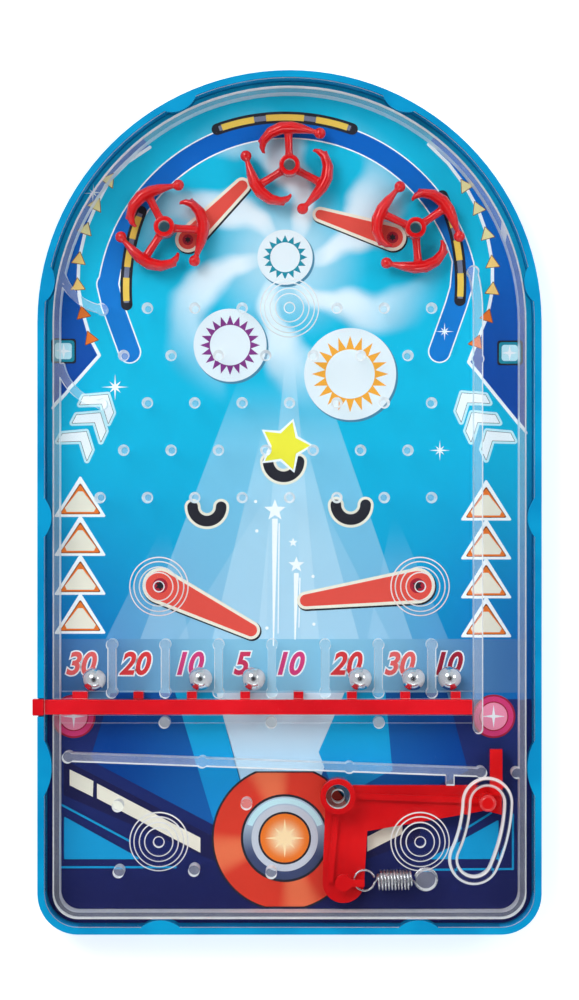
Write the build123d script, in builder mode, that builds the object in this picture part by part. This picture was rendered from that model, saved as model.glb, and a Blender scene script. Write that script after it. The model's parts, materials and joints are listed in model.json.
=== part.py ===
from build123d import *
import os
from math import atan2, cos, degrees, hypot, radians, sin, sqrt

os.makedirs("parts", exist_ok=True)

# A flat hand-held ball game, lying on its back. An arch-topped tray holds a printed card, and
# one clear moulded cover closes it. Pins, ribs and rails hang from the cover down to the card.
# Steel balls run between card and cover past three spinners into scoring bins. A sliding gate
# lets them out, a rail takes them to the launch lane, and a sprung lever shoots them up again.
# The origin is the centre of the tray's back face, +Y points to the arch and +Z to the player.

# ------------------------------------------------------------------ case, all sizes in mm
tray_width = 168.0
tray_height = 288.0
tray_corner = 13.5  # radius of the two bottom corners
tray_wall = 2.2
tray_floor = 2.0
tray_edge_round = 0.8
card_thickness = 0.6
card_gap = 0.3  # card to tray wall and pads
plate_thickness = 1.8
plate_gap = 0.15  # clear plate to tray wall
rim_proud = 0.5  # tray rim above the clear plate
cover_inset = 5.0  # tray edge to the outer face of the cover's wall
cover_wall_thickness = 2.2

pad_reach = 4.0  # how far a snap pad reaches in from the tray's edge
pad_fit = 0.25  # pad to the notch in the clear plate
pad_barb = 0.5  # how far the top of a pad hooks over the plate
arch_pad_angles = (9.0, 63.5, 116.5, 171.0)
arch_pad_chord = 14.0
side_pad_drop = 65.0  # below the arch centre
side_pad_chord = 15.0
low_pad_rise = 55.5  # above the bottom edge
low_pad_chord = 22.5
foot_pad_offset = 43.0
foot_pad_chord = 15.5

# ------------------------------------------------------------------ play field
ball_radius = 4.0
ball_gap = 0.25  # a resting ball to what it leans on
ball_float = 0.15  # a resting ball to the card
ball_headroom = 3.0  # play depth beyond a ball, which the gate strip needs
rib_gap = 0.2  # ribs, pins and moving parts above the card
rib_width = 2.7
pin_radius = 1.9
peg_root_radius = 1.9
peg_tip_radius = 1.1
peg_pitch = 15.8
peg_top_rise = 4.8  # top row above the arch centre
peg_row_starts = (-3.0, -3.5, -3.0, -3.5, -4.0)  # first peg of each row, in pitches from the middle
peg_row_ends = (3.0, 2.5, 3.0, 2.5, 3.0)

ring_steps = ((9.9, 0.5), (8.5, 0.8), (7.5, 1.1), (6.0, 1.4), (5.0, 1.7), (4.2, 2.0))  # radius, height
ring_hollow = 1.6
ring_lane_gap = 19.6  # middle of the side rings to the lane guide
field_ring_rise = 116.0  # above the bottom edge
base_ring_rise = 31.0

lane_clearance = 4.2  # ball lane beyond a ball, between its guide and the cover's wall
lane_rib = 3.0
lane_foot_rise = 68.2  # lower end of the lane guide above the bottom edge
lane_bend_rise = 4.0  # where the guide starts to follow the arch, above the arch centre
lane_top_rise = 17.2
lane_lean = 1.7  # how far the guide leans in at its top
lane_pin_drop = 12.0

deflector_span = 14.0  # inner wall to the deflector's pin
deflector_height = 13.6  # wall end above the pin
deflector_sag = 2.2  # how far the deflector bows below a straight line
upper_deflector_rise = 4.6  # its pin above the arch centre
lower_deflector_drop = 27.2

# ------------------------------------------------------------------ bins and gate
divider_count = 7
first_bin = 17.4  # inner wall to the first divider's middle
last_bin = 14.0  # last divider's middle to the lane guide
divider_length = 16.0  # between the middles of its two end pins
gate_rise = 75.7  # middle of the gate strip above the bottom edge
gate_width = 5.0
gate_thickness = 1.9
gate_play = 0.2  # strip to the clear plate
gate_side_gap = 0.3  # strip to its guides
gate_travel = 4.0
gate_handle_width = 5.6
gate_handle_proud = 1.7  # handle beyond the tray's edge
guide_width = 2.5
guide_depth = 1.8
tooth_width = 3.3
tooth_proud = 2.6  # tooth above the strip's upper edge
tooth_seat = 2.2  # tooth under the strip
tooth_gap = 0.4  # open gate's last tooth to the pin beside it
end_block_width = 5.1
gate_post_offsets = (-41.8, -6.1, 29.9)

# ------------------------------------------------------------------ return rail and launcher
rail_left_rise = 58.8  # rail's left pin above the bottom edge
rail_right_rise = 53.7
rail_left_gap = 0.8  # rail's left pin to the inner wall
rail_right_shift = 0.95  # rail's right pin, right of the lane guide's middle
rail_stop_back = 9.4  # lever stop, left of the lane guide
rail_pin_offsets = (-29.2, 20.0)
nub_radius = 1.8
nub_reach = 2.6
nub_rise = 53.5
support_posts_at = ((-57.4, 42.5), (-57.1, 20.5), (-31.9, 21.0), (-14.4, 43.2), (-6.1, 20.2))

lever_pivot_rise = 45.8  # above the bottom edge
lever_post_radius = 4.0
lever_post_bore = 2.2
running_gap = 0.08  # radial, between a turning hub and its post
lever_hub_radius = 5.9
lever_under = 5.0  # height of the lever plate's underside
lever_thickness = 2.5
lever_rib = 2.0
lever_rib_height = 1.4
lever_hub_wall = 1.8
tail_rib_back = 4.5  # lower end of the tail's rib, left of the tail's middle
lever_travel = 25.0  # degrees
lever_end_gap = 0.3
arm_rise = 3.4  # arm's upper edge above the pivot
arm_reach = 55.0
arm_tip_drop = 6.6  # arm's lower edge below the pivot, at the tip
arm_heel_drop = 5.2
arm_heel_back = 5.6
arm_root_drop = 12.0
arm_root_reach = 9.9
tail_drop = 29.1  # pivot to the middle of the tail's round end
tail_shift = 1.85
tail_radius = 7.0
striker_reach = 53.0  # pivot to the middle of the striker
striker_width = 4.2
striker_height = 12.1  # above the arm
striker_bottom = 4.4
striker_depth = 4.8
striker_lane_shift = 1.5  # striker left of the lane's middle
knob_reach = 49.7
knob_drop = 1.8
knob_radius = 2.8
knob_top = 20.0
knob_round = 1.2
slot_half = 5.3
slot_rim = 3.3
slot_rim_height = 2.0

spring_peg_reach = 7.1  # lever pivot to the spring's peg
spring_peg_radius = 1.2
spring_head_radius = 2.8  # round head on the tail
spring_head_height = 3.7
spring_bar_width = 2.4  # bar from the head over the peg, which keeps the spring's loop on
spring_bar_thickness = 1.8
spring_bar_past = 1.8  # bar beyond the peg's middle
spring_post_reach = 29.5
spring_post_drop = 28.0
spring_post_radius = 3.3
spring_wire = 0.35  # radius
spring_coil_radius = 3.65
spring_height = 8.4
spring_loop = 3.45  # radius of the loop on the peg
spring_slack = 0.1  # loop to the peg or post in it
spring_end_gap = 0.3  # loop to the first turn

# ------------------------------------------------------------------ spinners
spinner_angles = (142.5, 90.0, 37.0)  # round the arch centre
spinner_phases = (-3.0, 92.0, 35.0)
spinner_names = ("spinner_left", "spinner_top", "spinner_right")
spinner_wall_gap = 7.0
spinner_hub_radius = 3.3
spoke_width = 2.4
spoke_bottom = 5.0
spoke_thickness = 3.0
blade_bottom = 3.6
blade_height = 6.8
blade_outer = 14.6  # radii of the blade's two faces, in line with its spoke
blade_inner = 11.3
blade_nose_radius = 15.0
blade_nose_angle = -45.0
blade_nose_knob = 2.0
blade_tail_radius = 10.0
blade_tail_angle = 60.0

# ------------------------------------------------------------------ worked out from the sizes
tray_half = tray_width / 2
arch_y = tray_height / 2 - tray_half
base_y = -tray_height / 2
card_top = tray_floor + card_thickness
play_depth = 2 * ball_radius + ball_headroom
plate_under = card_top + play_depth
plate_top = plate_under + plate_thickness
rim_top = plate_top + rim_proud
rib_foot = card_top + rib_gap
rib_height = plate_under - rib_foot
inner_inset = cover_inset + cover_wall_thickness
inner_half = tray_half - inner_inset

lane_width = 2 * ball_radius + lane_clearance
lane_x = inner_half - lane_width - lane_rib / 2
lane_face = lane_x - lane_rib / 2
lane_middle = inner_half - lane_width / 2
peg_top = arch_y + peg_top_rise

gate_y = base_y + gate_rise
gate_upper = gate_y + gate_width / 2
gate_lower = gate_y - gate_width / 2
gate_top = plate_under - gate_play
gate_bottom = gate_top - gate_thickness
tooth_top = gate_upper + tooth_proud
bin_pitch = (inner_half + lane_face - first_bin - last_bin) / (divider_count - 1)
divider_xs = [-inner_half + first_bin + i * bin_pitch for i in range(divider_count)]
divider_foot = gate_upper + gate_side_gap + pin_radius
divider_head = divider_foot + divider_length

pivot_x = lane_middle - striker_lane_shift - striker_reach
pivot_y = base_y + lever_pivot_rise
lever_top = lever_under + lever_thickness
spring_post_at = (pivot_x + spring_post_reach, pivot_y - spring_post_drop)
tail_at = (pivot_x + tail_shift, pivot_y - tail_drop)
spring_peg_at = (pivot_x + spring_peg_reach, pivot_y - tail_drop)
knob_at = (pivot_x + knob_reach, pivot_y - knob_drop)
knob_arc_radius = hypot(knob_reach, knob_drop)
knob_rest_angle = degrees(atan2(-knob_drop, knob_reach))
slot_slack = degrees((slot_half - knob_radius - lever_end_gap) / knob_arc_radius)
slot_sweep = lever_travel - slot_slack

spinner_reach = blade_nose_radius + blade_nose_knob
spinner_ring = inner_half - spinner_wall_gap - spinner_reach
spinner_hubs = [
    (spinner_ring * cos(radians(a)), arch_y + spinner_ring * sin(radians(a)))
    for a in spinner_angles
]
from_below = (Align.CENTER, Align.CENTER, Align.MIN)
from_above = (Align.CENTER, Align.CENTER, Align.MAX)


def polar(radius, angle):
    """The point at a radius and an angle in degrees."""
    return (radius * cos(radians(angle)), radius * sin(radians(angle)))


# ------------------------------------------------------------------ outlines used more than once
def arch_outline(inset):
    """The arch-topped outline of the toy, drawn in from the tray's edge by an inset."""
    half = tray_half - inset
    foot = base_y + inset
    with BuildSketch() as outline:
        with Locations((0, (arch_y + foot) / 2)):
            Rectangle(2 * half, arch_y - foot)
        fillet(outline.vertices().group_by(Axis.Y)[0], tray_corner - inset)
        with Locations((0, arch_y)):
            Circle(half)
    return outline.sketch


def slot_outline(half_width):
    """The bent slot that the trigger knob moves along, round the lever's pivot."""
    with BuildSketch() as outline:
        with BuildLine(mode=Mode.PRIVATE) as path:
            CenterArc((pivot_x, pivot_y), knob_arc_radius, knob_rest_angle - slot_sweep, slot_sweep)
        SlotArc(path.edge(), 2 * half_width)
    return outline.sketch


def divider_outlines():
    """Seven ribs with a round pin at each end, one between each two bins."""
    with BuildSketch() as outline:
        for x in divider_xs:
            with Locations((x, (divider_foot + divider_head) / 2)):
                Rectangle(rib_width, divider_length)
            with Locations((x, divider_foot), (x, divider_head)):
                Circle(pin_radius)
    return outline.sketch


def lever_outline():
    """The launch lever seen from the front: a long arm to the lane and a short tail downwards."""
    with BuildSketch() as outline:
        with BuildLine():
            Polyline(
                (pivot_x - lever_hub_radius + lever_hub_wall, pivot_y),
                (pivot_x, pivot_y + arm_rise),
                (pivot_x + arm_reach, pivot_y + arm_rise),
                (pivot_x + arm_reach, pivot_y - arm_tip_drop),
                (pivot_x + arm_reach - arm_heel_back, pivot_y - arm_heel_drop),
                (pivot_x + arm_root_reach, pivot_y - arm_root_drop),
                (pivot_x + tail_shift + tail_radius, pivot_y - tail_drop),
                (pivot_x + tail_shift - tail_radius, pivot_y - tail_drop),
                close=True,
            )
        make_face()
        with Locations((pivot_x, pivot_y)):
            Circle(lever_hub_radius)
        with Locations(tail_at):
            Circle(tail_radius)
    return outline.sketch


tray_area = arch_outline(0)
tray_inside = arch_outline(tray_wall)
card_area = arch_outline(tray_wall + card_gap)
plate_area = arch_outline(tray_wall + plate_gap)
cover_wall_area = arch_outline(cover_inset)
play_area = arch_outline(inner_inset)
slot_hole = slot_outline(slot_half)
slot_rim_area = slot_outline(slot_half + slot_rim)
dividers_area = divider_outlines()
lever_area = lever_outline()

# Each snap pad: a point on the tray's edge, the direction outwards, and the pad's chord there.
pad_spots = [
    (tray_half * cos(radians(a)), arch_y + tray_half * sin(radians(a)), a, arch_pad_chord)
    for a in arch_pad_angles
]
for side, outwards in ((-1, 180.0), (1, 0.0)):
    pad_spots.append((side * tray_half, arch_y - side_pad_drop, outwards, side_pad_chord))
    pad_spots.append((side * tray_half, base_y + low_pad_rise, outwards, low_pad_chord))
    pad_spots.append((side * foot_pad_offset, base_y, -90.0, foot_pad_chord))


def pad_circles(grow, mode=Mode.ADD):
    """Draws the round of every snap pad in the open sketch, grown by a clearance."""
    for x, y, outwards, chord in pad_spots:
        radius = ((chord / 2) ** 2 + pad_reach**2) / (2 * pad_reach)
        out_x, out_y = polar(radius - pad_reach, outwards)
        with Locations((x + out_x, y + out_y)):
            Circle(radius + grow, mode=mode)


# ------------------------------------------------------------------ tray and card
with BuildPart() as back_tray:
    with BuildSketch():
        add(tray_area)
    extrude(amount=rim_top)
    fillet(back_tray.faces().sort_by(Axis.Z)[0].edges(), tray_edge_round)
    with BuildSketch(Plane.XY.offset(tray_floor)):
        add(tray_inside)
    extrude(amount=rim_top - tray_floor, mode=Mode.SUBTRACT)
    with BuildSketch(Plane.XY.offset(tray_floor)):
        pad_circles(0)
        add(tray_inside, mode=Mode.INTERSECT)
    extrude(amount=rim_top - tray_floor)
    with BuildSketch(Plane.XY.offset(plate_top)):
        pad_circles(pad_fit + pad_barb)
        add(tray_inside, mode=Mode.INTERSECT)
    extrude(amount=rim_proud)
    # The gate's handle passes through a notch that is open at the rim.
    with Locations((-tray_half, gate_y, gate_bottom - gate_side_gap)):
        Box(
            2 * (tray_wall + plate_gap),
            gate_handle_width + 2 * gate_side_gap,
            rim_top - gate_bottom + 2 * gate_side_gap,
            align=from_below,
            mode=Mode.SUBTRACT,
        )
back_tray.part.label = "back_tray"
export_step(back_tray.part, "parts/back_tray.step")

with BuildPart() as backing_card:
    with BuildSketch(Plane.XY.offset(tray_floor)):
        add(card_area)
        pad_circles(card_gap, Mode.SUBTRACT)
    extrude(amount=card_thickness)
backing_card.part.label = "backing_card"
export_step(backing_card.part, "parts/backing_card.step")

# ------------------------------------------------------------------ clear cover
with BuildPart() as cover_plate:
    with BuildSketch(Plane.XY.offset(plate_under)):
        add(plate_area)
        pad_circles(pad_fit, Mode.SUBTRACT)
        add(slot_hole, mode=Mode.SUBTRACT)
    extrude(amount=plate_thickness)
cover_plate.part.label = "cover_plate"
export_step(cover_plate.part, "parts/cover_plate.step")

with BuildPart() as cover_wall:
    with BuildSketch(Plane.XY.offset(card_top)):
        add(cover_wall_area)
        add(play_area, mode=Mode.SUBTRACT)
    extrude(amount=play_depth)
    with Locations((-inner_half - cover_wall_thickness / 2, gate_y, gate_bottom - gate_side_gap)):
        Box(
            2 * cover_wall_thickness,
            gate_width + 2 * gate_side_gap,
            plate_under - gate_bottom + gate_side_gap,
            align=from_below,
            mode=Mode.SUBTRACT,
        )
cover_wall.part.label = "cover_wall"
export_step(cover_wall.part, "parts/cover_wall.step")

with BuildPart() as trigger_rim:
    with BuildSketch(Plane.XY.offset(plate_top)):
        add(slot_rim_area)
        add(slot_hole, mode=Mode.SUBTRACT)
    extrude(amount=slot_rim_height)
trigger_rim.part.label = "trigger_rim"
export_step(trigger_rim.part, "parts/trigger_rim.step")

ring_offset = lane_x - ring_lane_gap
ring_spots = [(0, peg_top)]
for side in (-1, 1):
    ring_spots.append((side * ring_offset, base_y + field_ring_rise))
    ring_spots.append((side * ring_offset, base_y + base_ring_rise))
with BuildPart() as bumper_rings:
    with Locations(*[(x, y, plate_top) for x, y in ring_spots]):
        for radius, height in ring_steps:
            Cylinder(radius, height, align=from_below)
        Cylinder(ring_hollow, ring_steps[-1][1], align=from_below, mode=Mode.SUBTRACT)
bumper_rings.part.label = "bumper_rings"
export_step(bumper_rings.part, "parts/bumper_rings.step")

# ------------------------------------------------------------------ pins and ribs under the cover
peg_spots = []
for row, (start, end) in enumerate(zip(peg_row_starts, peg_row_ends)):
    for k in range(round(end - start) + 1):
        spot = ((start + k) * peg_pitch, peg_top - row * peg_pitch)
        if spot != ring_spots[0]:
            peg_spots.append(spot)
with BuildPart() as peg_pins:
    with Locations(*[(x, y, plate_under) for x, y in peg_spots]):
        Cone(peg_tip_radius, peg_root_radius, rib_height, align=from_above)
peg_pins.part.label = "peg_pins"
export_step(peg_pins.part, "parts/peg_pins.step")

with BuildPart() as bin_dividers:
    with BuildSketch(Plane.XY.offset(rib_foot)):
        add(dividers_area)
    extrude(amount=rib_height)
bin_dividers.part.label = "bin_dividers"
export_step(bin_dividers.part, "parts/bin_dividers.step")

lane_top = (lane_x - lane_lean, arch_y + lane_top_rise)
lane_foot = (lane_x, base_y + lane_foot_rise)
with BuildPart() as launch_lane_guide:
    with BuildSketch(Plane.XY.offset(rib_foot)):
        with BuildLine(mode=Mode.PRIVATE) as lane_path:
            Line(lane_foot, (lane_x, arch_y + lane_bend_rise))
            TangentArc((lane_x, arch_y + lane_bend_rise), lane_top, tangent=(0, 1))
        trace(lane_path.line, lane_rib)
        with Locations(lane_foot):
            Circle(lane_rib / 2)
        with Locations(lane_top, (lane_x, arch_y - lane_pin_drop)):
            Circle(pin_radius)
    extrude(amount=rib_height)
launch_lane_guide.part.label = "launch_lane_guide"
export_step(launch_lane_guide.part, "parts/launch_lane_guide.step")


def deflector(name, pin_y):
    """A bowed rib from the left wall down to a round pin, which throws balls back to the middle."""
    pin = (-inner_half + deflector_span, pin_y)
    wall_end = (-inner_half, pin_y + deflector_height)
    middle_x = (pin[0] + wall_end[0]) / 2 - deflector_sag
    middle_y = (pin[1] + wall_end[1]) / 2 - deflector_sag
    with BuildPart() as rib:
        with BuildSketch(Plane.XY.offset(rib_foot)):
            with BuildLine(mode=Mode.PRIVATE) as path:
                ThreePointArc(pin, (middle_x, middle_y), wall_end)
            trace(path.line, rib_width)
            with Locations(pin):
                Circle(pin_radius)
            add(play_area, mode=Mode.INTERSECT)
        extrude(amount=rib_height)
    rib.part.label = name
    export_step(rib.part, f"parts/{name}.step")


deflector("upper_deflector", arch_y + upper_deflector_rise)
deflector("lower_deflector", arch_y - lower_deflector_drop)

rail_left = (-inner_half + rail_left_gap + pin_radius, base_y + rail_left_rise)
rail_right = (lane_x + rail_right_shift, base_y + rail_right_rise)
rail_slope = (rail_right[1] - rail_left[1]) / (rail_right[0] - rail_left[0])
rail_pins = [(x, rail_left[1] + (x - rail_left[0]) * rail_slope) for x in rail_pin_offsets]
stop_x = lane_x - rail_stop_back
stop_foot = pivot_y + arm_rise + lever_end_gap
with BuildPart() as return_rail:
    with BuildSketch(Plane.XY.offset(rib_foot)):
        with BuildLine(mode=Mode.PRIVATE) as rail_path:
            Line(rail_left, rail_right)
        trace(rail_path.line, rib_width)
        with Locations(rail_left, rail_right, *rail_pins):
            Circle(pin_radius)
        # The lever's arm comes to rest against a short stop under the rail.
        with Locations((stop_x, stop_foot)):
            Rectangle(rib_width, rail_right[1] - stop_foot, align=(Align.CENTER, Align.MIN))
    extrude(amount=rib_height)
return_rail.part.label = "return_rail"
export_step(return_rail.part, "parts/return_rail.step")

with BuildPart() as lane_nub:
    with BuildSketch(Plane.XY.offset(rib_foot)):
        with Locations((inner_half - nub_reach + nub_radius, base_y + nub_rise)):
            Circle(nub_radius)
        add(play_area, mode=Mode.INTERSECT)
    extrude(amount=rib_height)
lane_nub.part.label = "lane_nub"
export_step(lane_nub.part, "parts/lane_nub.step")

# Two shallow ribs keep the gate strip in line, and three full-height pins stand in the lower one.
guide_length = inner_half + lane_face
guide_middle = (lane_face - inner_half) / 2
upper_guide_y = gate_upper + gate_side_gap + guide_width / 2
lower_guide_y = gate_lower - gate_side_gap - guide_width / 2
gate_post_y = lower_guide_y - guide_width / 2
with BuildPart() as gate_guides:
    with BuildSketch(Plane.XY.offset(plate_under - guide_depth)):
        with Locations((guide_middle, upper_guide_y), (guide_middle, lower_guide_y)):
            Rectangle(guide_length, guide_width)
        add(dividers_area, mode=Mode.SUBTRACT)
    extrude(amount=guide_depth)
    with Locations(*[(x, gate_post_y, rib_foot) for x in gate_post_offsets]):
        Cylinder(pin_radius, rib_height, align=from_below)
gate_guides.part.label = "gate_guides"
export_step(gate_guides.part, "parts/gate_guides.step")

with BuildPart() as support_posts:
    with Locations(*[(x, base_y + rise, rib_foot) for x, rise in support_posts_at]):
        Cylinder(pin_radius, rib_height, align=from_below)
support_posts.part.label = "support_posts"
export_step(support_posts.part, "parts/support_posts.step")

with BuildPart() as lever_post:
    with Locations((pivot_x, pivot_y, card_top)):
        Cylinder(lever_post_radius, play_depth, align=from_below)
        Cylinder(lever_post_bore, play_depth, align=from_below, mode=Mode.SUBTRACT)
lever_post.part.label = "lever_post"
export_step(lever_post.part, "parts/lever_post.step")

with BuildPart() as spring_post:
    with Locations((*spring_post_at, rib_foot)):
        Cylinder(spring_post_radius, rib_height, align=from_below)
spring_post.part.label = "spring_post"
export_step(spring_post.part, "parts/spring_post.step")

with BuildPart() as spinner_axles:
    with Locations(*[(x, y, card_top) for x, y in spinner_hubs]):
        Cylinder(pin_radius, play_depth, align=from_below)
spinner_axles.part.label = "spinner_axles"
export_step(spinner_axles.part, "parts/spinner_axles.step")

# ------------------------------------------------------------------ spinners
hub_height = plate_under - gate_play - rib_foot
blade_nose = polar(blade_nose_radius, blade_nose_angle)
blade_tail = polar(blade_tail_radius, blade_tail_angle)
with BuildSketch() as blade:
    with BuildLine():
        ThreePointArc(blade_nose, (blade_outer, 0), blade_tail)
        ThreePointArc(blade_tail, (blade_inner, 0), blade_nose)
    make_face()
    with Locations(blade_nose):
        Circle(blade_nose_knob)

for name, hub, phase in zip(spinner_names, spinner_hubs, spinner_phases):
    turned = Plane(origin=(*hub, 0), x_dir=(*polar(1, phase), 0), z_dir=(0, 0, 1))
    with BuildPart() as spinner:
        with BuildSketch(turned.offset(spoke_bottom)):
            with PolarLocations(0, 3):
                Rectangle(blade_inner + spoke_width / 2, spoke_width, align=(Align.MIN, Align.CENTER))
        extrude(amount=spoke_thickness)
        with BuildSketch(turned.offset(blade_bottom)):
            with PolarLocations(0, 3):
                add(blade.sketch)
        extrude(amount=blade_height)
        with Locations((*hub, rib_foot)):
            Cylinder(spinner_hub_radius, hub_height, align=from_below)
            Cylinder(pin_radius + running_gap, hub_height, align=from_below, mode=Mode.SUBTRACT)
    spinner.part.label = name
    export_step(spinner.part, f"parts/{name}.step")

# ------------------------------------------------------------------ launch lever and its spring
with BuildPart() as launch_lever:
    with BuildSketch(Plane.XY.offset(lever_under)):
        add(lever_area)
    extrude(amount=lever_thickness)
    with BuildSketch(Plane.XY.offset(lever_top)):
        with BuildLine(mode=Mode.PRIVATE) as ribs:
            Line((pivot_x, pivot_y), knob_at)
            Line((pivot_x, pivot_y), (tail_at[0] - tail_rib_back, tail_at[1]))
        trace(ribs.line, lever_rib)
    extrude(amount=lever_rib_height)
    with Locations((pivot_x, pivot_y, rib_foot)):
        Cylinder(lever_hub_radius, hub_height, align=from_below)
        Cylinder(lever_post_radius + running_gap, hub_height, align=from_below, mode=Mode.SUBTRACT)
    with Locations((pivot_x + striker_reach, pivot_y, striker_bottom)):
        Box(
            striker_width,
            striker_height + arm_rise,
            striker_depth,
            align=(Align.CENTER, Align.MIN, Align.MIN),
        )
    with Locations((*knob_at, lever_under)):
        Cylinder(knob_radius, knob_top - lever_under, align=from_below)
    fillet(launch_lever.faces().sort_by(Axis.Z)[-1].edges(), knob_round)
    # The spring's loop lies round a peg on the tail, under a bar that reaches over from a head.
    with Locations((*tail_at, lever_top)):
        Cylinder(spring_head_radius, spring_head_height, align=from_below)
    with Locations((*spring_peg_at, lever_top)):
        Cylinder(spring_peg_radius, spring_head_height, align=from_below)
    bar_length = spring_peg_at[0] + spring_bar_past - tail_at[0]
    with Locations((tail_at[0] + bar_length / 2, tail_at[1], lever_top + spring_head_height)):
        Box(bar_length, spring_bar_width, spring_bar_thickness, align=from_above)
launch_lever.part.label = "launch_lever"
export_step(launch_lever.part, "parts/launch_lever.step")

# The spring's outer shape: a coil between two loops, one on the lever's peg, one on the post.
# The pull of the spring draws the near side of each loop against its peg or post.
peg_loop_shift = spring_loop - spring_wire - spring_slack - spring_peg_radius
peg_loop_at = (spring_peg_at[0] + peg_loop_shift, spring_peg_at[1])
spring_run = (spring_post_at[0] - peg_loop_at[0], spring_post_at[1] - peg_loop_at[1])
spring_length = hypot(*spring_run)
post_loop = spring_post_radius + spring_slack + spring_wire
coil_start = spring_loop + spring_wire + spring_end_gap
coil_end = spring_length - post_loop - spring_wire - spring_end_gap
spring_line = Plane(
    origin=(*peg_loop_at, spring_height),
    x_dir=(0, 0, 1),
    z_dir=(*spring_run, 0),
)
with BuildPart() as launch_spring:
    with BuildSketch(spring_line.offset(coil_start)):
        Circle(spring_coil_radius)
    extrude(amount=coil_end - coil_start)
    with BuildSketch(spring_line.offset(spring_loop)):
        Circle(spring_wire)
    extrude(amount=spring_length - post_loop - spring_loop)
    with Locations((*peg_loop_at, spring_height)):
        Torus(spring_loop, spring_wire)
    with Locations((*spring_post_at, spring_height)):
        Torus(post_loop, spring_wire)
launch_spring.part.label = "launch_spring"
export_step(launch_spring.part, "parts/launch_spring.step")

# ------------------------------------------------------------------ ball gate
# One tooth closes the middle of each bin, and a block closes the first bin at the wall. The last
# tooth stands as near its divider as the gate's travel lets it.
tooth_xs = [x + bin_pitch / 2 for x in divider_xs[:-1]]
tooth_xs.append(divider_xs[-1] + pin_radius + gate_travel + tooth_gap + tooth_width / 2)
block_right = -inner_half + gate_travel + ball_gap + end_block_width
strip_right = lane_face - 2 * gate_side_gap
handle_left = -tray_half - gate_handle_proud
handle_right = -tray_half + tray_wall - gate_side_gap
tooth_length = tooth_proud + tooth_seat
tooth_height = gate_bottom - rib_foot
with BuildPart() as ball_gate:
    with Locations(((handle_left + strip_right) / 2, gate_y, gate_bottom)):
        Box(strip_right - handle_left, gate_width, gate_thickness, align=from_below)
    with Locations(((handle_left + handle_right) / 2, gate_y, gate_bottom)):
        Box(handle_right - handle_left, gate_handle_width, plate_top - gate_bottom, align=from_below)
    with Locations(*[(x, tooth_top, rib_foot) for x in tooth_xs]):
        Box(tooth_width, tooth_length, tooth_height, align=(Align.CENTER, Align.MAX, Align.MIN))
    with Locations((block_right, tooth_top, rib_foot)):
        Box(end_block_width, tooth_length, tooth_height, align=(Align.MAX, Align.MAX, Align.MIN))
ball_gate.part.label = "ball_gate"
export_step(ball_gate.part, "parts/ball_gate.step")

# ------------------------------------------------------------------ steel balls at rest in the bins
ball_z = card_top + ball_float + ball_radius
reach = ball_radius + ball_gap
lean = pin_radius + reach
# Each ball lies on the gate beside one divider, clear of the divider's pins, so that it can roll
# straight up past them. A spot is the ball's X and the near corner of the tooth that holds it.
tooth_corner = tooth_width / 2
ball_spots = [
    (divider_xs[0] - lean, block_right),
    (divider_xs[2] - lean, tooth_xs[1] + tooth_corner),
    (divider_xs[3] - lean, tooth_xs[2] + tooth_corner),
    (divider_xs[5] - lean, tooth_xs[4] + tooth_corner),
    (divider_xs[6] - lean, tooth_xs[5] + tooth_corner),
    (divider_xs[6] + lean, tooth_xs[6] - tooth_corner),
]
for number, (x, corner) in enumerate(ball_spots, start=1):
    y = tooth_top + sqrt(reach**2 - min(abs(x - corner), ball_radius) ** 2)
    with BuildPart() as ball:
        with Locations((x, y, ball_z)):
            Sphere(ball_radius)
    ball.part.label = f"ball_{number}"
    export_step(ball.part, f"parts/ball_{number}.step")
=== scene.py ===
# %% [markdown]
# # A hand-held ball game
# The toy is a flat blue tray with an arched top, a printed card, and a clear moulded cover that
# carries every pin and rib. Steel balls, three red spinners, a red gate and a sprung red lever
# move between card and cover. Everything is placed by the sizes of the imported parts, in metres.

# %% Load the parts
import json
import math

import bmesh
import bpy
from mathutils import Matrix, Vector


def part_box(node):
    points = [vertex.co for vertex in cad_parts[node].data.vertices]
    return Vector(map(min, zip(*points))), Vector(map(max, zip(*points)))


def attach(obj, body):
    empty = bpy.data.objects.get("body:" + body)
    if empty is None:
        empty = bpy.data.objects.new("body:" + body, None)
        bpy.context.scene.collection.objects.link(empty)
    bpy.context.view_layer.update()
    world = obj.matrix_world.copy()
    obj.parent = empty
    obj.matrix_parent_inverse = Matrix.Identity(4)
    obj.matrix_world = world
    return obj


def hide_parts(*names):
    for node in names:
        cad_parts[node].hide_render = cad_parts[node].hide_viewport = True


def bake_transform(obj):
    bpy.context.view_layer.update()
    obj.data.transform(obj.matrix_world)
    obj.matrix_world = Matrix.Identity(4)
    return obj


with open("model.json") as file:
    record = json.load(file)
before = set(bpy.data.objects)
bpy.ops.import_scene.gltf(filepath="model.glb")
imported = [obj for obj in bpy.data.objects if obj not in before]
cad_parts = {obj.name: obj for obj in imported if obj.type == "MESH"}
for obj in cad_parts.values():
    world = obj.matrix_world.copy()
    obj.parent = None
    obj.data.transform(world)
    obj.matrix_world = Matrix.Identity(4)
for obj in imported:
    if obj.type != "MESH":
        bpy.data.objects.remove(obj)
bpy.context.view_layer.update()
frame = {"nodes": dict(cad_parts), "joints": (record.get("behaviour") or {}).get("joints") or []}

nodes = frame["nodes"]

# %% [markdown]
# Two heights set the print and the play space: the card's face, and the underside of the clear
# plate. Flat artwork is easiest to read in millimetres, so it is drawn in them and then scaled.
# Three small helpers turn a bmesh into a mesh, put it in the scene, and spin a section round.

# %% Shared sizes
MM = 0.001
ARCH_Y = 60.0  # height of the arch's centre, in millimetres
card_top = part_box("backing_card")[1].z
plate_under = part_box("cover_plate")[0].z
plate_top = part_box("cover_plate")[1].z
print("card at", round(card_top / MM, 2), "mm, plate from", round(plate_under / MM, 2), "mm")


def middle_of(node):
    """The middle of a part's box."""
    low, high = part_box(node)
    return (low + high) / 2


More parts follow.
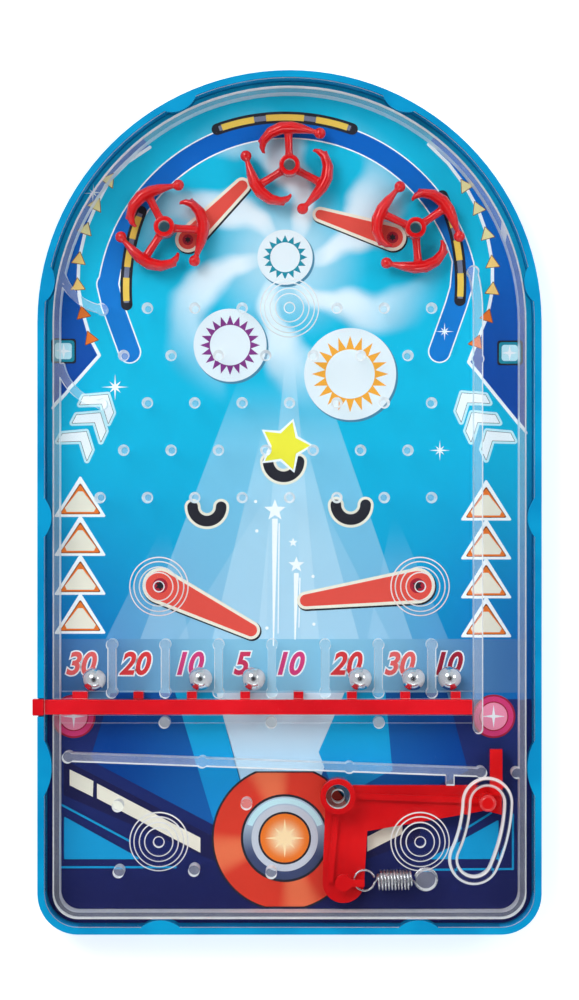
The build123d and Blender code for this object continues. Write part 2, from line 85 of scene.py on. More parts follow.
def mesh_of(shape, name):
    """Turns a finished bmesh into a mesh."""
    mesh = bpy.data.meshes.new(name)
    shape.to_mesh(mesh)
    shape.free()
    return mesh


def show(name, data):
    """Puts a new object in the scene."""
    thing = bpy.data.objects.new(name, data)
    bpy.context.scene.collection.objects.link(thing)
    return thing


def spin_all(shape, angle, steps, closed=False):
    """Spins everything in a bmesh round the upright axis."""
    bmesh.ops.spin(
        shape, geom=shape.verts[:] + shape.edges[:] + shape.faces[:], axis=(0, 0, 1), cent=(0, 0, 0),
        angle=angle, steps=steps, use_merge=closed,
    )


# %% [markdown]
# ## Mixing a finish
# A finish is a network of nodes. Writing it as sums and products is easier to follow than a
# list of links, so an output socket is wrapped in a small class that knows plus, minus and times,
# and every other kind of node comes from one method.

# %% A value on a socket, and a finish that is being mixed
class Value:
    """An output socket that Python's operators can do maths on."""

    def __init__(self, finish, node, output=0):
        self.finish, self.node, self.socket = finish, node, node.outputs[output]

    def other(self, output):
        return Value(self.finish, self.node, output)

    def math(self, operation, first, second=0.0):
        return self.finish.add("ShaderNodeMath", {"operation": operation}, {0: first, 1: second})

    def __add__(self, other):
        return self.math("ADD", self, other)

    __radd__ = __add__

    def __sub__(self, other):
        return self.math("SUBTRACT", self, other)

    def __rsub__(self, other):
        return self.math("SUBTRACT", other, self)

    def __mul__(self, other):
        return self.math("MULTIPLY", self, other)

    __rmul__ = __mul__

    def step(self, low, high):
        """0 below low, 1 above high, and a smooth rise between them."""
        return self.finish.add(
            "ShaderNodeMapRange",
            {"interpolation_type": "SMOOTHSTEP"},
            {"Value": self, "From Min": low, "From Max": high, "To Min": 0.0, "To Max": 1.0},
        )


class Finish:
    """A material with one Principled surface and the nodes that feed it."""

    def __init__(self, name, **constants):
        self.material = bpy.data.materials.new(name)
        self.material.use_nodes = True
        self.tree = self.material.node_tree
        self.surface = self.tree.nodes["Principled BSDF"]
        for socket, value in constants.items():
            self.surface.inputs[socket.replace("_", " ")].default_value = value

    def add(self, kind, settings=None, sockets=None, output=0):
        node = self.tree.nodes.new(kind)
        for name, value in (settings or {}).items():
            setattr(node, name, value)
        for key, value in (sockets or {}).items():
            self.feed(node.inputs[key], value)
        return Value(self, node, output)

    def feed(self, socket, value):
        if isinstance(value, Value):
            self.tree.links.new(value.socket, socket)
        else:
            socket.default_value = value

    def place(self):
        """Where a point is on the object, in metres."""
        return self.add("ShaderNodeTexCoord", output="Object")

    def noise(self, scale, detail=2.0, place=None):
        """Even grey speckle from 0 to 1, with about this many grains to the metre."""
        sockets = {"Vector": place or self.place(), "Scale": scale, "Detail": detail}
        return self.add("ShaderNodeTexNoise", {}, sockets)

    def blend(self, share, first, second):
        """A colour between two, by a share from 0 to 1."""
        return self.add("ShaderNodeMix", {"data_type": "RGBA"}, {0: share, 6: first, 7: second}, 2)

    def bump(self, height, distance, strength=1.0):
        sockets = {"Height": height, "Distance": distance, "Strength": strength}
        self.feed(self.surface.inputs["Normal"], self.add("ShaderNodeBump", {}, sockets))

    def set(self, **sockets):
        for name, value in sockets.items():
            self.feed(self.surface.inputs[name.replace("_", " ")], value)
        return self


def rgb(red, green, blue):
    """A screen colour, 0 to 255, as the linear light that shaders use."""
    def linear(part):
        part /= 255
        return part / 12.92 if part <= 0.04045 else ((part + 0.055) / 1.055) ** 2.4
    return (linear(red), linear(green), linear(blue), 1.0)


print("white is", rgb(255, 255, 255))

# %% [markdown]
# ## Moulded plastic
# Tray, spinners, lever and gate are glossy injection mouldings. Such plastic is coloured right
# through, but it is never dead even: the colour drifts a little where the melt cooled, and fine
# handling marks break up the gloss. Slow noise tints it and quick noise roughens it.

# %% Opaque plastics
def moulded(name, light, dark, rough):
    finish = Finish(name, IOR=1.5, Coat_Weight=0.25, Coat_Roughness=0.06)
    drift = finish.noise(55).step(0.3, 0.7)
    scuffs = finish.noise(420, 3)
    finish.set(Base_Color=finish.blend(drift, light, dark), Roughness=scuffs * 0.08 + rough)
    finish.bump(finish.noise(70), 0.00003, 0.4)
    return finish.material


blue_plastic = moulded("blue_moulding", rgb(4, 166, 222), rgb(0, 146, 205), 0.2)
red_plastic = moulded("red_moulding", rgb(226, 22, 24), rgb(206, 10, 16), 0.14)
gate_plastic = moulded("gate_moulding", rgb(232, 14, 30), rgb(214, 6, 22), 0.2)
print("plastics:", blue_plastic.name, red_plastic.name, gate_plastic.name)

# %% [markdown]
# The cover is clear polystyrene. A path tracer lets no lamp light straight through a refracting
# body, so for shadow rays the plastic is swapped for a plain see-through surface that only takes
# a little of the light. The card below is then lit as it is under real clear plastic.
# What the eye sees of such a moulding is mostly its edges, which look white where they catch the
# light. A painted highlight stands in for that: a rough white surface is mixed in wherever the
# surface doesn't lie flat. The flat feet of the ribs get a thinner share of the same white.

# %% Clear plastic
def clear_moulding(name, foot_white):
    finish = Finish(name, IOR=1.46, Transmission_Weight=1.0)
    metres = finish.place()
    finish.set(
        Base_Color=finish.blend(finish.noise(40), (0.985, 0.995, 1, 1), (0.965, 0.985, 0.995, 1)),
        Roughness=finish.noise(900, 3) * 0.03,
    )
    finish.bump(finish.noise(90), 0.00002, 0.4)
    up = finish.add("ShaderNodeSeparateXYZ", {}, {0: finish.place().other("Normal")}, "Z")
    flat = up.math("ABSOLUTE", up).step(0.9, 0.99)
    height = finish.add("ShaderNodeSeparateXYZ", {}, {0: metres}, "Z")
    foot = 1 - height.step(card_top + 0.3 * MM, card_top + 0.5 * MM)
    cloud = finish.noise(160, 3, metres)
    # painted highlight: white on every face that doesn't lie flat, and a thinner white on the flat feet
    painted_highlight_and_foot_white = (1 - flat) * (cloud * 0.2 + 0.68) + flat * foot * (cloud * 0.1 + foot_white)
    painted_white = finish.add("ShaderNodeBsdfPrincipled", {}, {
        "Base Color": (1.0, 1.0, 1.0, 1), "Roughness": 0.35, "IOR": 1.46,
    })
    with_painted_white = finish.add("ShaderNodeMixShader", {}, {0: painted_highlight_and_foot_white, 1: Value(finish, finish.surface), 2: painted_white})
    shadow = finish.add("ShaderNodeLightPath", output="Is Shadow Ray")
    see_through = finish.add("ShaderNodeBsdfTransparent", {}, {"Color": (0.93, 0.95, 0.96, 1)})
    mixed = finish.add("ShaderNodeMixShader", {}, {0: shadow, 1: with_painted_white, 2: see_through})
    finish.feed(finish.tree.nodes["Material Output"].inputs["Surface"], mixed)
    return finish.material


clear_plastic = clear_moulding("clear_moulding", 0.12)
wall_plastic = clear_moulding("clear_wall", 0.55)
print("cover finishes:", clear_plastic.name, wall_plastic.name)

# %% [markdown]
# ## Steel
# The balls are ground and polished, close to a mirror, with hair-fine marks from rolling. The
# spring is drawn wire, duller, with its colour uneven along the wire.

# %% Steel finishes
def steel(name, light, dark, rough, spread, marks):
    finish = Finish(name, Metallic=1.0)
    finish.set(
        Base_Color=finish.blend(finish.noise(300, 3).step(0.35, 0.7), light, dark),
        Roughness=finish.noise(2600, 4) * spread + rough,
    )
    finish.bump(finish.noise(marks, 5), 0.000006, 0.3)
    return finish.material


polished_steel = steel("ball_steel", (0.86, 0.86, 0.87, 1), (0.78, 0.78, 0.8, 1), 0.02, 0.08, 4000)
spring_steel = steel("wire_steel", (0.72, 0.73, 0.75, 1), (0.55, 0.56, 0.58, 1), 0.16, 0.2, 6000)
print("steels:", polished_steel.name, spring_steel.name)

# %% [markdown]
# ## Background of the card
# Behind the printed figures the card shades from bright cyan to navy, with a white whirl round
# the top, beams that fan down from the middle, and a dark band at the foot. These soft shapes have
# no edges to model, so they are mixed in the finish from each point's place. The whirl is a sine
# of the angle that is wound up with the distance; a beam is the part between two slanting lines.

# %% Card finish
WHIRL_MIDDLE = (-1.5, 82.0)
WHIRL_ARMS = 6
WHIRL_WIND = 0.021  # turn of an arm per millimetre outwards, in radians
# A beam: lower and upper end, left edge at the lower end and its lean, right edge and its lean,
# strength. A lean is millimetres to the right for each millimetre up.
BEAMS = [
    (-66, 44, -58, 0.378, 48.5, -0.346, 0.28),
    (-66, 30, -31, 0.24, 29, -0.27, 0.34),
    (-66, 66, -13, 0.1, 12, -0.09, 0.3),
    (-66, 12, -50, 0.62, -8, 0.02, 0.16),
    (-66, 8, 4, -0.02, 44, -0.5, 0.16),
    (-66, -8, -72, 0.5, -30, -0.18, 0.16),
    (-66, -4, 22, 0.2, 62, -0.42, 0.14),
]


def card_print():
    finish = Finish("card_print", IOR=1.5, Specular_IOR_Level=0.12)
    metres = finish.place()
    across = finish.add("ShaderNodeSeparateXYZ", {}, {0: metres}, "X")
    x, y = across * (1 / MM), across.other("Y") * (1 / MM)
    cloud = finish.noise(38, 2, metres)

    sky = finish.blend(y.step(-60, 60), rgb(0, 154, 204), rgb(0, 184, 220))
    sides = x.math("ABSOLUTE", x).step(18, 84) * (1 - y.step(-62, 20))
    colour = finish.blend(sides * 0.85, sky, rgb(0, 84, 168))

    out_x, out_y = x - WHIRL_MIDDLE[0], y - WHIRL_MIDDLE[1]
    reach = x.math("SQRT", out_x * out_x + out_y * out_y)
    angle = x.math("ARCTAN2", out_y, out_x) - reach * WHIRL_WIND + cloud * 0.9
    arm = x.math("SINE", angle * WHIRL_ARMS).step(-0.35, 0.95)
    whirl = arm * reach.step(4, 16) * (1 - reach.step(26, 55))
    glow = 1 - reach.step(6, 30)
    colour = finish.blend(whirl * 0.85, colour, rgb(236, 246, 252))
    colour = finish.blend(glow * 0.45, colour, rgb(240, 248, 252))

    def beam(low, high, left, left_lean, right, right_lean):
        inside_left = (x - y * left_lean).step(left - low * left_lean, left - low * left_lean + 0.4)
        inside_right = (x - y * right_lean).step(right - low * right_lean - 0.4, right - low * right_lean)
        return inside_left * (1 - inside_right) * (1 - y.step(high - 26, high)) * y.step(low - 0.2, low)

    for *shape, strength in BEAMS:
        colour = finish.blend(beam(*shape) * strength, colour, rgb(205, 232, 245))

    foot = finish.blend(y.step(-141, -70), rgb(22, 28, 86), rgb(24, 42, 108))
    colour = finish.blend(1 - y.step(-66.4, -66), colour, foot)

    grain = finish.noise(2200, 3, metres)
    colour = finish.blend(grain * 0.008, colour, (1, 1, 1, 1))
    finish.set(Base_Color=colour, Roughness=grain * 0.16 + 0.34)
    finish.bump(grain, 0.00001, 0.25)
    return finish.material


printed_card = card_print()
print("card finish has", len(printed_card.node_tree.nodes), "nodes")

# %% [markdown]
# ## Tray, card and gate
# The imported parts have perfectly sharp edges. A mould can't make a truly sharp edge, and light
# catches on the small round that it leaves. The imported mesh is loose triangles, so
# a Weld modifier joins them first and then a Bevel modifier rounds the edges over 30 degrees.

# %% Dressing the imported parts
WELD = 0.002 * MM  # corners nearer than this are one corner


def paint(thing, material):
    thing.data.materials.clear()
    thing.data.materials.append(material)


def soften(thing, width):
    weld = thing.modifiers.new("weld", "WELD")
    weld.merge_threshold = WELD
    bevel = thing.modifiers.new("edge_rounds", "BEVEL")
    bevel.width, bevel.segments = width, 2
    bevel.limit_method, bevel.angle_limit = "ANGLE", math.radians(30)
    bevel.harden_normals = True


def smooth_by_angle(thing, degrees):
    thing.data.shade_smooth()
    thing.data.set_sharp_from_angle(angle=math.radians(degrees))


PAINTS = {
    "back_tray": (blue_plastic, 0.25 * MM),
    "backing_card": (printed_card, 0),
    "ball_gate": (gate_plastic, 0.35 * MM),
    "launch_lever": (red_plastic, 0.4 * MM),
}
PAINTS.update({f"ball_{number}": (polished_steel, 0) for number in range(1, 7)})
for name, (material, width) in PAINTS.items():
    paint(nodes[name], material)
    if width:
        soften(nodes[name], width)
print("painted", len(PAINTS), "packed parts")

# %% [markdown]
# ## Printing plates
# A printer lays down one ink at a time. Here each ink is one piece too: all its shapes are very thin
# films that stand on the card, and a film that overprints another is a little thicker. A shape is
# built in a bmesh at a handy height, pressed flat, and added to the mesh of its ink.

# %% Plates and the four ways to cut a shape
FILM = 0.014  # thickness of one layer of ink, in millimetres
BLANK = 10.0  # height of a shape before it is pressed
SET_OFF = 0.0009  # each film of an ink is this much thicker than the last, so no two tops coincide
plates, films = {}, {}


def press(ink, layer, shape):
    """Presses a solid shape down to that many layers and adds it to the plate of an ink."""
    films[ink] = films.get(ink, 0) + 1
    thick = layer * FILM + films[ink] % 13 * SET_OFF
    bmesh.ops.scale(shape, vec=(1, 1, thick / BLANK), verts=shape.verts)
    bmesh.ops.recalc_face_normals(shape, faces=shape.faces)
    pressed = mesh_of(shape, "pressed")
    plates.setdefault(ink, bmesh.new()).from_mesh(pressed)
    bpy.data.meshes.remove(pressed)


def corners_in(things):
    return [thing for thing in things if isinstance(thing, bmesh.types.BMVert)]


def raise_blank(shape):
    """Extrudes flat faces up to a solid blank."""
    top = bmesh.ops.extrude_face_region(shape, geom=shape.faces[:])["geom"]
    bmesh.ops.translate(shape, vec=(0, 0, BLANK), verts=corners_in(top))
    return shape


def hull(ink, layer, *dots):
    """The smallest rounded shape round some dots, each an x, a y and a radius."""
    shape = bmesh.new()
    for x, y, radius in dots:
        for z in (0, BLANK):
            if radius:
                place = Matrix.Translation((x, y, z))
                bmesh.ops.create_circle(shape, segments=28, radius=radius, matrix=place)
            else:
                bmesh.ops.create_vert(shape, co=(x, y, z))
    made = bmesh.ops.convex_hull(shape, input=shape.verts[:])
    spare = {g for key in ("geom_interior", "geom_unused") for g in made[key]}
    bmesh.ops.delete(shape, geom=corners_in(spare), context="VERTS")
    bmesh.ops.dissolve_limit(shape, angle_limit=0.01, verts=shape.verts, edges=shape.edges)
    press(ink, layer, shape)


def star(ink, layer, middle, outer, inner, points, turn=90, clip=None):
    """A star, or a round disc when both radii are the same, cut flat above and below if asked."""
    shape = bmesh.new()
    count = points * 2 if outer != inner else 64
    place = Matrix.Translation((*middle, 0)) @ Matrix.Rotation(math.radians(turn - 90), 4, "Z")
    rim = bmesh.ops.create_circle(shape, cap_ends=True, segments=count, radius=outer, matrix=place)["verts"]
    if outer != inner:
        shrink = Matrix.Translation((*middle, 0))
        bmesh.ops.scale(shape, vec=(inner / outer,) * 2 + (1,), verts=rim[1::2], space=shrink.inverted())
    for height, side in clip or ():
        bmesh.ops.bisect_plane(
            shape, geom=shape.verts[:] + shape.edges[:] + shape.faces[:],
            plane_co=(0, height, 0), plane_no=(0, side, 0), clear_outer=True,
        )
    press(ink, layer, raise_blank(shape))


def arc(ink, layer, middle, inner, outer, start, end, steps=48):
    """A bent band between two radii, from one angle to another."""
    shape = bmesh.new()
    width = outer - inner
    bmesh.ops.create_grid(shape, x_segments=1, y_segments=1, size=0.5)
    bmesh.ops.scale(shape, vec=(width, BLANK, 1), verts=shape.verts)
    bmesh.ops.rotate(shape, matrix=Matrix.Rotation(math.radians(90), 3, "X"), verts=shape.verts)
    bmesh.ops.translate(shape, vec=(inner + width / 2, 0, BLANK / 2), verts=shape.verts)
    bmesh.ops.rotate(shape, matrix=Matrix.Rotation(math.radians(start), 3, "Z"), verts=shape.verts)
    spin_all(shape, math.radians(end - start), steps)
    bmesh.ops.translate(shape, vec=(*middle, 0), verts=shape.verts)
    press(ink, layer, shape)


def disc(ink, layer, middle, radius, clip=None):
    star(ink, layer, middle, radius, radius, 1, clip=clip)


print("one layer of ink is", FILM, "mm")

# %% [markdown]
# ### Deep blue fields, the arch band and the bin band
# A blue field fills each upper corner behind a white line, a blue band runs round the top like a
# lane, and a pale strip lies under the bins. Bands are spun, and straight runs are hulls.

# %% Fields and bands
BAND_MIDDLE, BAND_INNER, BAND_OUTER = (-0.5, 65.0), 57.8, 64.2
BAND_LEG = 3.45  # radius of the band's straight legs
LINE = 0.45  # width of the band's white border
FIELD_LINE = 0.55  # half the width of a field's white border
EDGE = 79.6  # the printed card's half width, kept a hair inside its cut edge

FLAGS = {
    -1: [(-60.7, 108.2), (-65.1, 99.9), (-68.6, 91.7), (-70.9, 81.7), (-71.2, 72.9), (-69.5, 63.5), (-67, 55.1)],
    1: [(59.2, 106.4), (63.4, 98.8), (66.5, 90.1), (68.3, 80.5), (68.3, 71.5), (66.5, 62.5), (62.8, 53.7)],
}
FIELD_LINES = {
    -1: [(-47, 119.5), (-54.5, 114.5)] + FLAGS[-1] + [(-64.0, 49.5), (-EDGE, 31.8)],
    1: [(46.8, 120.5), (53.5, 114)] + FLAGS[1] + [(60.3, 47.2), (EDGE, 23.4)],
}


def card_edge(x, y):
    """The point of the card's edge that lies outwards from a point."""
    if y < ARCH_Y:
        return (math.copysign(EDGE, x), y)
    reach = EDGE / math.hypot(x, y - ARCH_Y)
    return (x * reach, ARCH_Y + (y - ARCH_Y) * reach)


for line in FIELD_LINES.values():
    for a, b in zip(line, line[1:]):
        hull("field_blue", 1, (*a, 0), (*b, 0), (*card_edge(*a), 0), (*card_edge(*b), 0))
        hull("white", 2, (*a, FIELD_LINE), (*b, FIELD_LINE))

BAND_LEGS = [
    [(-61.2, 73.5), (-59.6, 66.5), (-53.8, 50.6)],
    [(58.4, 80.0), (57.7, 72.0), (56.1, 66.5), (50.5, 50.8)],
]
for layer, ink, grow in ((2, "white", LINE), (3, "band_blue", 0)):
    arc(ink, layer, BAND_MIDDLE, BAND_INNER - grow, BAND_OUTER + grow, 14, 172, 64)
    for leg in BAND_LEGS:
        for a, b in zip(leg, leg[1:]):
            hull(ink, layer, (*a, BAND_LEG + grow), (*b, BAND_LEG + grow))

FACETS = [
    ("foot_blue", 1, [(-60, -64), (-66.7, -85), (-64.8, -88), (-25.5, -108.6), (24, -108.6), (60, -90), (53, -64)]),
    ("foot_sky", 2, [(-38.5, -64), (-25.5, -107.5), (-16, -95), (-24.5, -64)]),
    ("foot_sky", 2, [(18.5, -64), (9.8, -84), (16, -100), (34.6, -90), (32.3, -64)]),
    ("foot_pale", 2, [(-24.5, -64), (-15.5, -98), (9, -98), (12, -80), (19, -64)]),
]
for ink, layer, corners in FACETS:
    hull(ink, layer, *[(*corner, 0) for corner in corners])
hull("bin_band", 1, *[(x, y, 0) for x in (-EDGE, EDGE) for y in (-46, -64)])
print("plates so far:", sorted(plates))

# %% [markdown]
# ### Suns
# Three pale round stickers each hold a ring of sharp rays round a white middle. A ray ring is a
# circle whose every other corner is pulled in, printed under a smaller disc.

# %% Suns
SUNS = [
    ("teal", (-1.5, 82.5), 9.3, 7.5, 5.0, 16),
    ("purple", (-20.0, 52.9), 12.3, 10.1, 6.8, 20),
    ("orange", (20.4, 43.2), 15.5, 12.9, 8.3, 20),
]
for ink, middle, rim, tips, core, rays in SUNS:
    disc("soft_grey", 1, (middle[0] + 0.5, middle[1] - 0.6), rim + 0.15)
    disc("sticker", 2, middle, rim)
    star(ink, 3, middle, tips, core + 0.3, rays)
    disc("sticker", 4, middle, core)
print("suns:", len(SUNS))

# %% [markdown]
# ### Printed flippers, lane marks and cups
# A flipper is the hull of a big and a small dot. Each lane mark is a black pill that follows the
# arch, with yellow dashes in it. A cup is half a ring with round ends.

# %% Flippers, lane marks and cups
FLIPPERS = [
    ((-34.2, 88.4, 4.3), (-15.9, 106.6, 2.8)),
    ((34.7, 89.2, 4.6), (10.3, 96.9, 2.6)),
    ((-43.5, -28.0, 6.0), (-13.0, -43.0, 3.1)),
    ((43.0, -28.0, 6.0), (5.5, -33.0, 3.0)),
]
for root, tip in FLIPPERS:
    hull("black", 2, *[(x + 0.3, y - 0.4, radius + 0.2) for x, y, radius in (root, tip)])
    hull("cream", 3, root, tip)
    hull("coral", 4, (*root[:2], root[2] - 1.1), (*tip[:2], tip[2] - 1.0))
    disc("dark_red", 5, root[:2], root[2] * 0.42)
    star("black", 6, root[:2], root[2] * 0.3, root[2] * 0.16, 6)

# A lane mark: the middle of its bend, radius, start and end angle, and its dashes.
LANE_MARKS = [
    ((-1.5, 63.0), 66.6, 70.2, 110.0, [(71.6, 81), (84.5, 95.5), (99, 108.6)]),
    ((14.0, 72.0), 69.0, 158.0, 184.5, [(159.5, 166), (169, 174), (177, 183.5)]),
    ((-14.0, 74.0), 71.6, -4.8, 24.0, [(-3.8, 2.5), (6, 11.5), (15, 22.5)]),
]
for middle, radius, start, end, dashes in LANE_MARKS:
    ends = [
        (middle[0] + radius * math.cos(math.radians(a)), middle[1] + radius * math.sin(math.radians(a)))
        for a in (start, end)
    ]
    arc("black", 4, middle, radius - 1.95, radius + 1.95, start, end)
    for spot in ends:
        disc("black", 4, spot, 1.95)
    arc("grey", 5, middle, radius - 0.85, radius + 0.85, start + 0.5, end - 0.5)
    for first, last in dashes:
        arc("yellow", 6, middle, radius - 1.05, radius + 1.05, first, last, 12)

CUPS = [((-27.8, -1.5), 6.6), ((20.6, -0.8), 6.8), ((-2.0, 13.8), 7.0)]
CUP_HALF = 1.8  # half the width of a cup's band
for (x, y), radius in CUPS:
    for ink, layer, grow in (("cream", 2, 0.9), ("black", 3, 0)):
        arc(ink, layer, (x, y), radius - 2 * CUP_HALF - grow, radius + grow, 180, 360, 32)
        for side in (-1, 1):
            disc(ink, layer, (x + side * (radius - CUP_HALF), y), CUP_HALF + grow)
print("flippers:", len(FLIPPERS), "lane marks:", len(LANE_MARKS))

# %% [markdown]
# ### Flags, arrows and triangles
# Small flags stand along each field's line and turn with it. Below them come three arrow heads and
# four lit triangles, and a small square lamp sits at each edge. Most are hulls of a few dots.

# %% Side marks
FLAG_REACH = 2.6  # from a flag's middle to its corners
FLAG_INKS = ("pale_yellow", "pale_yellow", "pale_yellow", "amber", "amber", "flame", "flame")
for side, spots in FLAGS.items():
    line = FIELD_LINES[side]
    for spot, fill in zip(spots, FLAG_INKS):
        at = line.index(spot)
        ahead = math.atan2(line[at - 1][1] - line[at + 1][1], line[at - 1][0] - line[at + 1][0])
        corners = [
            (spot[0] + FLAG_REACH * math.cos(ahead + turn), spot[1] + FLAG_REACH * math.sin(ahead + turn))
            for turn in (0, math.radians(120), math.radians(240))
        ]
        for ink, layer, grow in (("brown", 3, 0.22), (fill, 4, 0)):
            hull(ink, layer, *[(*corner, grow) for corner in corners])

ARROW = [(-8.0, -0.7), (0, 0), (1.9, -6.1), (0.2, -9.7), (-1.8, -3.2), (-9.4, -3.4)]  # from its top corner
ARROW_CORNERS = {-1: [(-61.2, 36.3), (-63.7, 30.1), (-68.4, 23.8)], 1: [(58.0, 36.8), (61.3, 30.1), (66.4, 24.0)]}
for side, corners in ARROW_CORNERS.items():
    for x, y in corners:
        outline = [(x - side * a, y + b) for a, b in ARROW]
        for ink, layer, radius in (("pale_glow", 2, 0.95), ("black", 3, 0.16), ("white", 4, 0)):
            for quarter in ((0, 1, 4, 5), (1, 2, 3, 4)):
                hull(ink, layer, *[(*outline[i], radius) for i in quarter])

TRIANGLE_PITCH, TRIANGLE_HEIGHT = 13.1, 12
for x, first in ((-70.4, 8.1), (66.2, 6.9)):
    for row in range(4):
        top = first - TRIANGLE_PITCH * row
        foot = top - TRIANGLE_HEIGHT
        for ink, layer, half, down_from_top, up_from_foot in (
            ("white", 2, 8.0, -0.2, -0.6), ("brown", 3, 6.3, 2.2, 0.3), ("flame", 4, 5.9, 2.8, 0.55),
        ):
            feet = [(x + side * half, foot + up_from_foot, 0.4) for side in (-1, 1)]
            hull(ink, layer, (x, top - down_from_top, 0.4), *feet)
        lit = ((0.8, top - 4.4), (5.2, foot + 2.0), (4.6, foot + 0.7))
        hull("cream", 5, *[(x + side * half, y, 0) for half, y in lit for side in (-1, 1)])

for x, y in ((-76.0, 50.9), (74.1, 50.3)):
    for ink, layer, half in (("black", 3, 4.2), ("teal", 4, 3.6), ("pale_glow", 5, 2.7)):
        hull(ink, layer, *[(x + a * (half - 1), y + b * (half - 1), 1) for a in (-1, 1) for b in (-1, 1)])
    star("white", 6, (x, y), 2.6, 0.7, 4)

# %% [markdown]
# ### Stars
# The middle star has a white border under its yellow. Two smaller stars trail white streaks,
# and the four glints are thin stars with a second, turned star on them.

# %% Stars
for ink, layer, outer, inner in (("white", 4, 9.6, 5.4), ("star_yellow", 5, 8.5, 4.5)):
    star(ink, layer, (-1.5, 19.0), outer, inner, 5, 73)
for (x, y), radius, foot, width in (((-4.9, -2.7), 3.8, -48, 1.3), ((2.3, -21), 2.8, -46, 1.1)):
    star("white", 3, (x, y), radius, radius * 0.42, 5)
    trail = [(x + side * width * 0.55, y - 3, 0.25) for side in (-1, 1)]
    hull("white", 2, *trail, (x - width * 0.4, foot, 0.2))
    hull("white", 2, (x + width * 1.1, y - 4.5, 0.22), (x + width * 0.8, foot + 4, 0.15))
star("white", 3, (1.2, -13.5), 1.6, 0.7, 5)
for x, y in ((-11, -9.6), (-11.4, 0.3), (-7.6, -42.3), (7.9, -24.9), (8.2, -41)):
    disc("white", 3, (x, y), 0.55)
for (x, y), radius in (((-58.7, 38.8), 4.5), ((50.6, 17.5), 3.5), ((52.2, 57.5), 3.0), ((-66, 104), 3.2)):
    star("white", 5, (x, y), radius, radius * 0.12, 4)
    star("white", 4, (x, y), radius * 0.6, radius * 0.14, 4, 45)
    disc("pale_glow", 4, (x, y), radius * 0.22)
print("plates so far:", len(plates))

# %% [markdown]
# ### The big button, side buttons and foot strips
# At the foot a large round button glows between dark rings, two pink buttons light the lower
# corners, and pale strips run down to the button like rails.

# %% Buttons and strips
BIG = (-1.6, -113.0)
trim = ((-90.5, 1), (-136.5, -1))
disc("black", 3, BIG, 24.6, trim)
disc("button_red", 4, BIG, 23.9, ((-91.0, 1), (-136.0, -1)))
for ink, layer, radius in (
    ("black", 5, 14.8), ("silver_dark", 6, 14.0), ("silver", 7, 11.2), ("black", 8, 8.9), ("glow", 9, 8.2),
):
    disc(ink, layer, BIG, radius)
arc("pale_glow", 7, BIG, 11.6, 13.5, 20, 160, 40)
for turn, reach in ((90, 6.6), (45, 4.8)):
    star("sun_glow", 10, BIG, reach, 1.1, 4, turn)

for x, y in ((-72.6, -72.0), (68.7, -72.0)):
    for ink, layer, radius in (("dark_red", 2, 7.3), ("magenta", 3, 6.7), ("dark_red", 4, 5.0), ("pink", 5, 4.6)):
        disc(ink, layer, (x, y), radius)
    star("white", 6, (x, y), 3.9, 0.7, 4)

for corners in (
    ((-74, -89.9), (-66, -93.8), (-66.2, -99.1), (-74, -95.2)),
    ((-64.8, -94.6), (-30, -112.9), (-30, -117.9), (-64.8, -99.6)),
    ((26.2, -112.5), (38, -106.5), (38, -111.5), (26.2, -117.5)),
):
    hull("cream", 4, *[(*corner, 0) for corner in corners])
hull("navy", 2, (-76, -86.5, 0), (-23.5, -113.6, 0), (-23.5, -121.5, 0), (-76, -98.5, 0))
hull("navy", 2, (22, -113.0, 0), (44, -101.5, 0), (44, -113.5, 0), (22, -121.5, 0))
hull("cyan", 3, (-75.6, -106.2, 0.3), (-75.6, -119.8, 0.3), (-51, -119.8, 0.3))
hull("cyan", 3, (70.1, -107.4, 0.3), (70.1, -119.8, 0.3), (47.6, -119.8, 0.3))
for a, b in (
    ((-76.7, -101.8), (-53.8, -114)), ((-76.7, -122.8), (-38.3, -122.8)), ((75.2, -105.1), (75.2, -123)),
    ((75.2, -123.4), (43.7, -123.7)), ((67.9, -104.6), (58.9, -110.2)),
):
    hull("cyan", 3, (*a, 0.35), (*b, 0.35))
print("plates so far:", len(plates))

# %% [markdown]
# ### Score numbers
# Eight plain numbers name the worth of each bin. Type is a curve with a font; it is turned into a
# mesh, scaled to its height, and pressed like every other shape. A fatter copy under it, in white,
# makes the outline.

# %% Score numbers
def final_mesh(thing, name):
    """The mesh that an object's curve or modifiers give."""
    view = bpy.context.evaluated_depsgraph_get()
    mesh = bpy.data.meshes.new_from_object(thing.evaluated_get(view))
    mesh.name = name
    return mesh


SCORES = [
    ("30", -70.0, "salmon"), ("20", -51.9, "score_red"), ("10", -33.3, "magenta"), ("5", -15.9, "crimson"),
    ("10", 0.6, "magenta"), ("20", 19.2, "score_red"), ("30", 37.2, "salmon"), ("10", 53.8, "dark_red"),
]
SCORE_Y, SCORE_SIZE = -54.2, 10.5


def number_shape(text, fatten):
    curve = bpy.data.curves.new("score", "FONT")
    curve.body, curve.shear, curve.offset, curve.extrude = text, 0.28, fatten, 0.5
    curve.resolution_u = 5
    thing = show("score", curve)
    shape = bmesh.new()
    shape.from_mesh(final_mesh(thing, "score"))
    bpy.data.objects.remove(thing)
    bmesh.ops.remove_doubles(shape, verts=shape.verts, dist=0.0001)
    return shape


for text, x, ink in SCORES:
    for colour, layer, fatten in (("white", 2, 0.075), (ink, 3, 0.03)):
        shape = number_shape(text, fatten)
        low = [min(v.co[i] for v in shape.verts) for i in range(2)]
        high = [max(v.co[i] for v in shape.verts) for i in range(2)]
        centre = [(a + b) / 2 for a, b in zip(low, high)]
        bmesh.ops.translate(shape, vec=(-centre[0], -centre[1], 0.5), verts=shape.verts)
        bmesh.ops.scale(shape, vec=(SCORE_SIZE * 0.92, SCORE_SIZE, BLANK), verts=shape.verts)
        bmesh.ops.translate(shape, vec=(x, SCORE_Y, 0), verts=shape.verts)
        press(colour, layer, shape)
print("scores:", len(SCORES))

